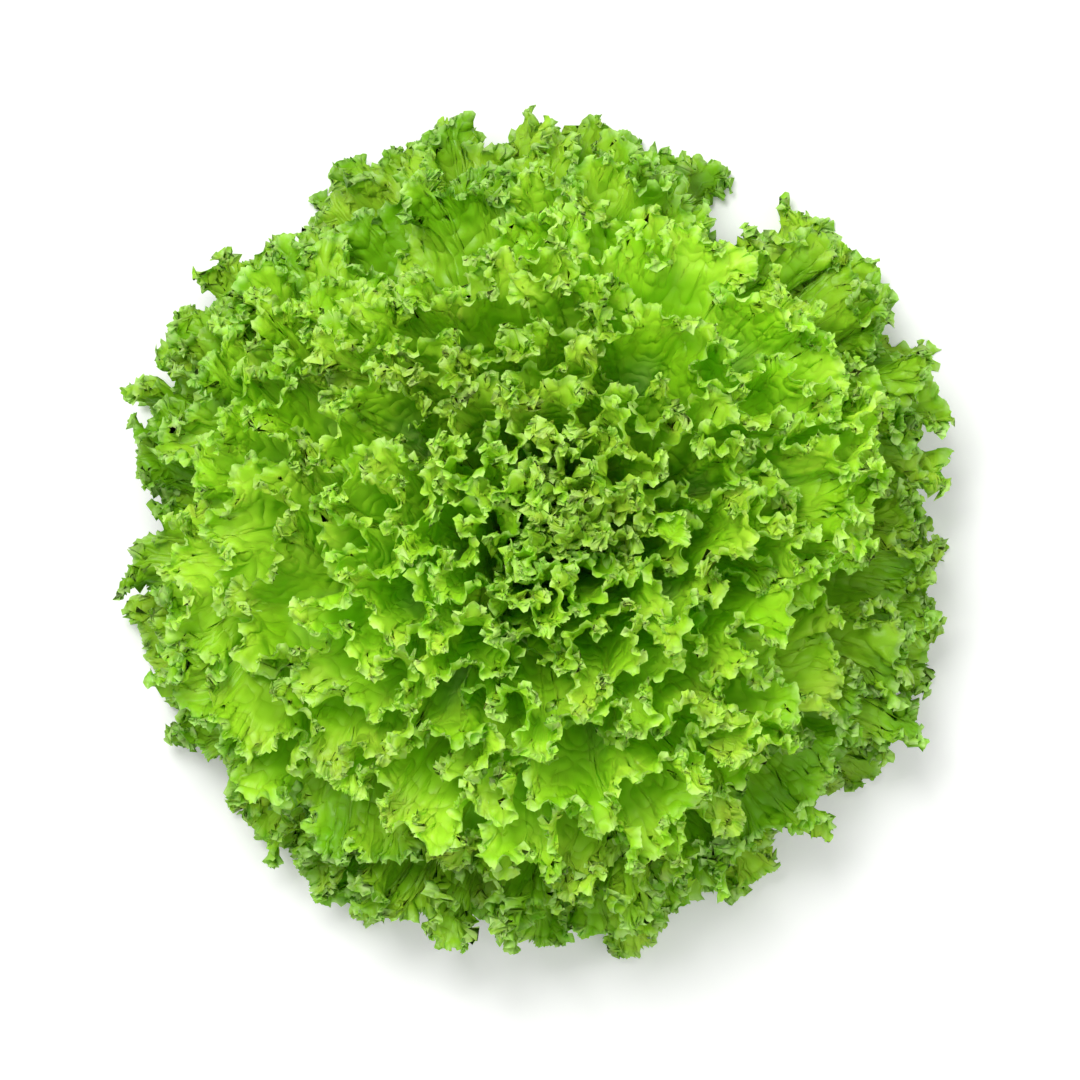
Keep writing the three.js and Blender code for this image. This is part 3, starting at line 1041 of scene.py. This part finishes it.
@dataclass(frozen=True)
class LeafFinish:
    """Fresh lettuce leaf: thin, waxy and a little see-through, so its curls glow yellow where lit.

    The blade is mottled, and swollen between creases along its small veins, with painted shade in
    the creases. It is palest in a patchy band along the margin, partly its own paler tint and partly
    a painted highlight, painted deeper green away from it as shade down among the folds, and nearly
    white at the midrib's base. The glow tints the light that comes through.
    """

    name: str
    # deep is the blade's own green, and is also painted in further from the margin as shade
    deep: str
    light: str
    margin: str
    rib: str
    glow: str
    mottle_mm: float = 22.0  # broad soft mottles
    mottle_range: Pair = (0.3, 0.7)
    deep_mm: Pair = (5.0, 32.0)  # painted shade: from the margin in, where the blade is painted deeper green for the shade among the folds
    deep_share: float = 0.75
    patch_mm: float = 3.0  # small patches of the margin's band and of the gloss
    patch_range: Pair = (0.38, 0.6)
    patch_least: float = 0.15
    # the pale band along the margin: partly its own paler tint and partly painted highlight
    margin_mm: float = 2.6
    margin_share: float = 0.9
    rib_width: float = 0.13
    rib_reach: Pair = (0.25, 0.8)
    foot_reach: Pair = (0.05, 0.4)
    blister_mm: float = 6.0  # small blisters, with a crease round each
    crease_width: float = 0.09
    # painted shade: the creases round the blisters are darker
    crease_tones: Pair = (0.93, 1.03)
    relief_mm: float = 2.6
    gloss_range: Pair = (0.3, 0.7)
    roughness: Pair = (0.34, 0.5)  # a thin wax, glossier in patches
    see_through: float = 0.38  # a lit leaf shines through on its far side

    def material(self) -> bpy.types.Material:
        """The finish as nodes."""
        material = bpy.data.materials.new(self.name)
        add = emptied(material)
        place, shares = (
            add(ATTRIBUTE, {"attribute_name": name})["Vector"]
            for name in ("leaf_mm", "leaf_share")
        )
        tone = add(ATTRIBUTE, {"attribute_name": "leaf_tone"})["Fac"]
        share = add("ShaderNodeSeparateXYZ", Vector=shares)
        across = add(MATH, {"operation": "ABSOLUTE"}, i0=share["X"])[0]
        out, inward = share["Y"], share["Z"]
        patterns = (self.mottle_mm, 0.0), (self.patch_mm, 1.0), (self.blister_mm, 0.0)
        mottle, patch, swelling = (
            add(NOISE, Vector=place, Scale=1 / size, Detail=detail)["Fac"]
            for size, detail in patterns
        )
        level = add(MATH, {"operation": "SUBTRACT"}, i0=swelling, i1=0.5)[0]
        dome = add(MATH, {"operation": "ABSOLUTE"}, i0=level)[0]
        ramps = (
            (mottle, self.mottle_range, (0.0, 1.0)),
            # painted shade: deeper green further in from the margin
            (inward, self.deep_mm, (0.0, self.deep_share)),
            # the margin's pale band: partly its own tint, partly painted highlight
            (inward, (0.0, self.margin_mm), (self.margin_share, 0.0)),
            (patch, self.patch_range, (self.patch_least, 1.0)),
            (across, (0.0, self.rib_width), (1.0, 0.0)),
            (out, self.rib_reach, (1.0, 0.0)),
            (out, self.foot_reach, (1.0, 0.0)),
            # painted shade darkens the creases between blisters
            (dome, (0.0, self.crease_width), self.crease_tones),
            (patch, self.gloss_range, self.roughness),
        )
        # inner carries painted shade, near and patchy the margin band with painted highlight, raised
        # painted shade in the creases
        spread, inner, near, patchy, ridge, reach, foot, raised, rough = (
            add(RANGE, Value=value, From_Min=low, From_Max=high, To_Min=start, To_Max=end)[0]
            for value, (low, high), (start, end) in ramps
        )
        # edge: the margin's pale band in patches, partly its own tint and partly painted highlight
        edge = add(MATH, MULTIPLY, i0=near, i1=patchy)[0]
        midrib = add(MATH, MULTIPLY, i0=ridge, i1=reach)[0]
        pale = add(MATH, {"operation": "MAXIMUM"}, i0=midrib, i1=foot)[0]
        blade: Any = srgb(self.deep)
        # spread is the mottle, inner painted shade towards deep, edge the margin's paler tint with
        # painted highlight, pale the midrib
        layers = (spread, self.light), (inner, self.deep), (edge, self.margin), (pale, self.rib)
        for amount, code in layers:
            blade = add(MIX, COLOUR, i0=amount, i6=blade, i7=srgb(code))[2]
        # the leaf's random tone, times painted shade in the creases
        value = add(MATH, MULTIPLY, i0=tone, i1=raised)[0]
        colour = add("ShaderNodeHueSaturation", Color=blade, Value=value)["Color"]
        bump = add(BUMP, Height=dome, Distance=self.relief_mm * MM, Strength=1.0)["Normal"]
        skin = add(SURFACE, Base_Color=colour, Roughness=rough, IOR=1.45, Normal=bump)[0]
        glowing = add(MIX, COLOUR, i0=0.5, i6=colour, i7=srgb(self.glow))[2]
        through = add("ShaderNodeBsdfTranslucent", Color=glowing, Normal=bump)[0]
        both = add("ShaderNodeMixShader", i0=self.see_through, i1=skin, i2=through)[0]
        add(OUTPUT, Surface=both)
        return material


@dataclass(frozen=True)
class StemFinish:
    """Raw lettuce stem: a pale skin streaked along its length, and a damp cut face gone rusty.

    The milk that runs from the cut dries reddish brown round its edge and in a ring.
    """

    name: str = "raw_stem"
    skin: str = "dbe3ae"
    streak: str = "b7c87a"
    flesh: str = "e6e7c4"
    rust: str = "a8683a"
    fibre_mm: float = 1.6
    fibre_range: Pair = (0.4, 0.65)
    fibre_stretch: float = 0.12
    relief_mm: float = 0.4
    blot_mm: float = 5.0
    blot_range: Pair = (0.35, 0.65)
    cut_mm: Pair = (0.05, 0.9)  # height over which the flesh turns to skin
    ring_mm: Pair = (9.5, 12.5)  # radius over which the rust sets in
    rust_mm: float = 4.0  # how far up the side it reaches
    rust_share: float = 0.85
    roughness: Pair = (0.55, 0.38)  # the blots are damp

    def material(self) -> bpy.types.Material:
        """The finish as nodes."""
        material = bpy.data.materials.new(self.name)
        add = emptied(material)
        place = add(ATTRIBUTE, {"attribute_name": "stem_mm"})["Vector"]
        parts = add("ShaderNodeSeparateXYZ", Vector=place)
        flat = add("ShaderNodeCombineXYZ", X=parts["X"], Y=parts["Y"])[0]
        radius = add("ShaderNodeVectorMath", {"operation": "LENGTH"}, i0=flat)["Value"]
        stretch = (1.0, 1.0, self.fibre_stretch)
        long = add("ShaderNodeMapping", Vector=place, Scale=stretch)[0]
        fibre, blot = (
            add(NOISE, Vector=where, Scale=1 / size, Detail=detail)["Fac"]
            for where, size, detail in ((long, self.fibre_mm, 3.0), (place, self.blot_mm, 4.0))
        )
        ramps = (
            (fibre, self.fibre_range, (0.0, 1.0)),
            (parts["Z"], self.cut_mm, (1.0, 0.0)),
            (radius, self.ring_mm, (0.0, 1.0)),
            (blot, self.blot_range, (0.0, 1.0)),
            (parts["Z"], (0.0, self.rust_mm), (self.rust_share, 0.0)),
        )
        streaks, cut, outside, damp, low = (
            add(RANGE, Value=value, From_Min=least, From_Max=most, To_Min=start, To_Max=end)[0]
            for value, (least, most), (start, end) in ramps
        )
        rusty = add(MATH, MULTIPLY, i0=outside, i1=damp)[0]
        rusty = add(MATH, MULTIPLY, i0=rusty, i1=low)[0]
        colour: Any = srgb(self.skin)
        for amount, code in (streaks, self.streak), (cut, self.flesh), (rusty, self.rust):
            colour = add(MIX, COLOUR, i0=amount, i6=colour, i7=srgb(code))[2]
        bump = add(BUMP, Height=fibre, Distance=self.relief_mm * MM, Strength=0.8)["Normal"]
        dry, wet = self.roughness
        rough = add(RANGE, Value=damp, To_Min=dry, To_Max=wet)[0]
        surface = add(SURFACE, Base_Color=colour, Roughness=rough, IOR=1.42, Normal=bump)[0]
        add(OUTPUT, Surface=surface)
        return material


@dataclass(frozen=True)
class PaperFinish:
    """White seamless paper: matt, faintly fibrous, and seen as white where nothing shades it."""

    name: str = "seamless_paper"
    colour: str = "fbfbfb"
    fibre_mm: float = 0.8
    relief_mm: float = 0.02
    lift: float = 0.12

    def material(self) -> bpy.types.Material:
        """The finish as nodes."""
        material = bpy.data.materials.new(self.name)
        add = emptied(material)
        place = add("ShaderNodeTexCoord")["Object"]
        fibre = add(NOISE, Vector=place, Scale=1 / (self.fibre_mm * MM))["Fac"]
        bump = add(BUMP, Height=fibre, Distance=self.relief_mm * MM, Strength=0.3)["Normal"]
        seen = add("ShaderNodeLightPath")["Is Camera Ray"]
        glow = add(MATH, MULTIPLY, i0=seen, i1=self.lift)[0]
        paper = add(
            SURFACE,
            Base_Color=srgb(self.colour),
            Roughness=0.9,
            Normal=bump,
            Emission_Color=WHITE,
            Emission_Strength=glow,
        )[0]
        add(OUTPUT, Surface=paper)
        return material


# ---- The studio ----


@dataclass(frozen=True)
class Lamp:
    """A square soft box that faces the head. Places and sizes are in metres."""

    name: str
    place: Triple
    size: float
    watts: float


@dataclass
class Studio:
    """The white table and surround, two soft boxes, and a camera straight above."""

    paper: PaperFinish = field(default_factory=PaperFinish)
    floor_size: float = 12.0
    lamps: tuple[Lamp, ...] = (
        Lamp("key", (-0.35, 0.6, 1.5), 0.7, 19.0),
        Lamp("fill", (0.9, -0.6, 1.2), 1.2, 4.0),
    )
    sky: float = 0.55
    camera_distance: float = 1.5
    focus_height: float = 0.06
    offset_y: float = -0.0027
    view_width: float = 0.362
    sensor_mm: float = 36.0

    def build(self) -> None:
        """Sets up everything round the head."""
        scene = bpy.context.scene
        scene.view_settings.view_transform = "Standard"
        bpy.ops.mesh.primitive_plane_add(size=self.floor_size)
        floor = bpy.context.object
        floor.name = "floor"
        floor.data.materials.append(self.paper.material())
        scene.world = self.surround()
        for lamp in self.lamps:
            self.hang(lamp)
        data = bpy.data.cameras.new("camera")
        data.sensor_width = self.sensor_mm
        data.lens = self.sensor_mm * self.camera_distance / self.view_width
        camera = bpy.data.objects.new("camera", data)
        camera.location = (0.0, self.offset_y, self.focus_height + self.camera_distance)
        scene.collection.objects.link(camera)
        scene.camera = camera

    def hang(self, lamp: Lamp) -> None:
        """Puts up one soft box, facing the head."""
        data = bpy.data.lights.new(lamp.name, "AREA")
        data.size = lamp.size
        data.energy = lamp.watts
        light = bpy.data.objects.new(lamp.name, data)
        bpy.context.scene.collection.objects.link(light)
        light.location = lamp.place
        light.rotation_mode = "QUATERNION"
        light.rotation_quaternion = (-light.location).to_track_quat("-Z", "Y")

    def surround(self) -> bpy.types.World:
        """A soft white surround that is plain white where it is seen."""
        world = bpy.data.worlds.new("studio")
        add = emptied(world)
        path = add("ShaderNodeLightPath")
        seen = path["Is Camera Ray"]
        strength = add(RANGE, Value=seen, To_Min=self.sky, To_Max=1.0)[0]
        sky = add("ShaderNodeBackground", Color=WHITE, Strength=strength)
        add("ShaderNodeOutputWorld", Surface=sky[0])
        return world


# margin is the margin's own paler tint with painted highlight; deep is the blade's green, also painted
# in as shade
FINISHES = {
    Slot.HEART: LeafFinish(
        "young_leaf", deep="bcf032", light="d4fb50", margin="dcfc8c", rib="d8f290", glow="dcff3c"
    ),
    Slot.INNER: LeafFinish(
        "tender_leaf", deep="b2ec26", light="d6fb4c", margin="defc98", rib="e6f0bc", glow="e0ff34"
    ),
    Slot.OUTER: LeafFinish(
        "grown_leaf", deep="8ed01a", light="c6f23c", margin="dafa9e", rib="e0ecb4", glow="ccfa28"
    ),
}


def main() -> None:
    """Builds the head and its studio in order, and writes how large both models are."""
    logging.basicConfig(level=logging.INFO, format="%(name)s: %(message)s")
    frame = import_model()
    for part in (Stem(StemFinish()), Leaves(FINISHES)):
        for piece in part.build():
            piece.data.calc_loop_triangles()
            LOG.info("%s: %d triangles", piece.name, len(piece.data.loop_triangles))
    Studio().build()
    LOG.info("%d solids dressed", len(frame["nodes"]))


if __name__ == "__main__":
    main()
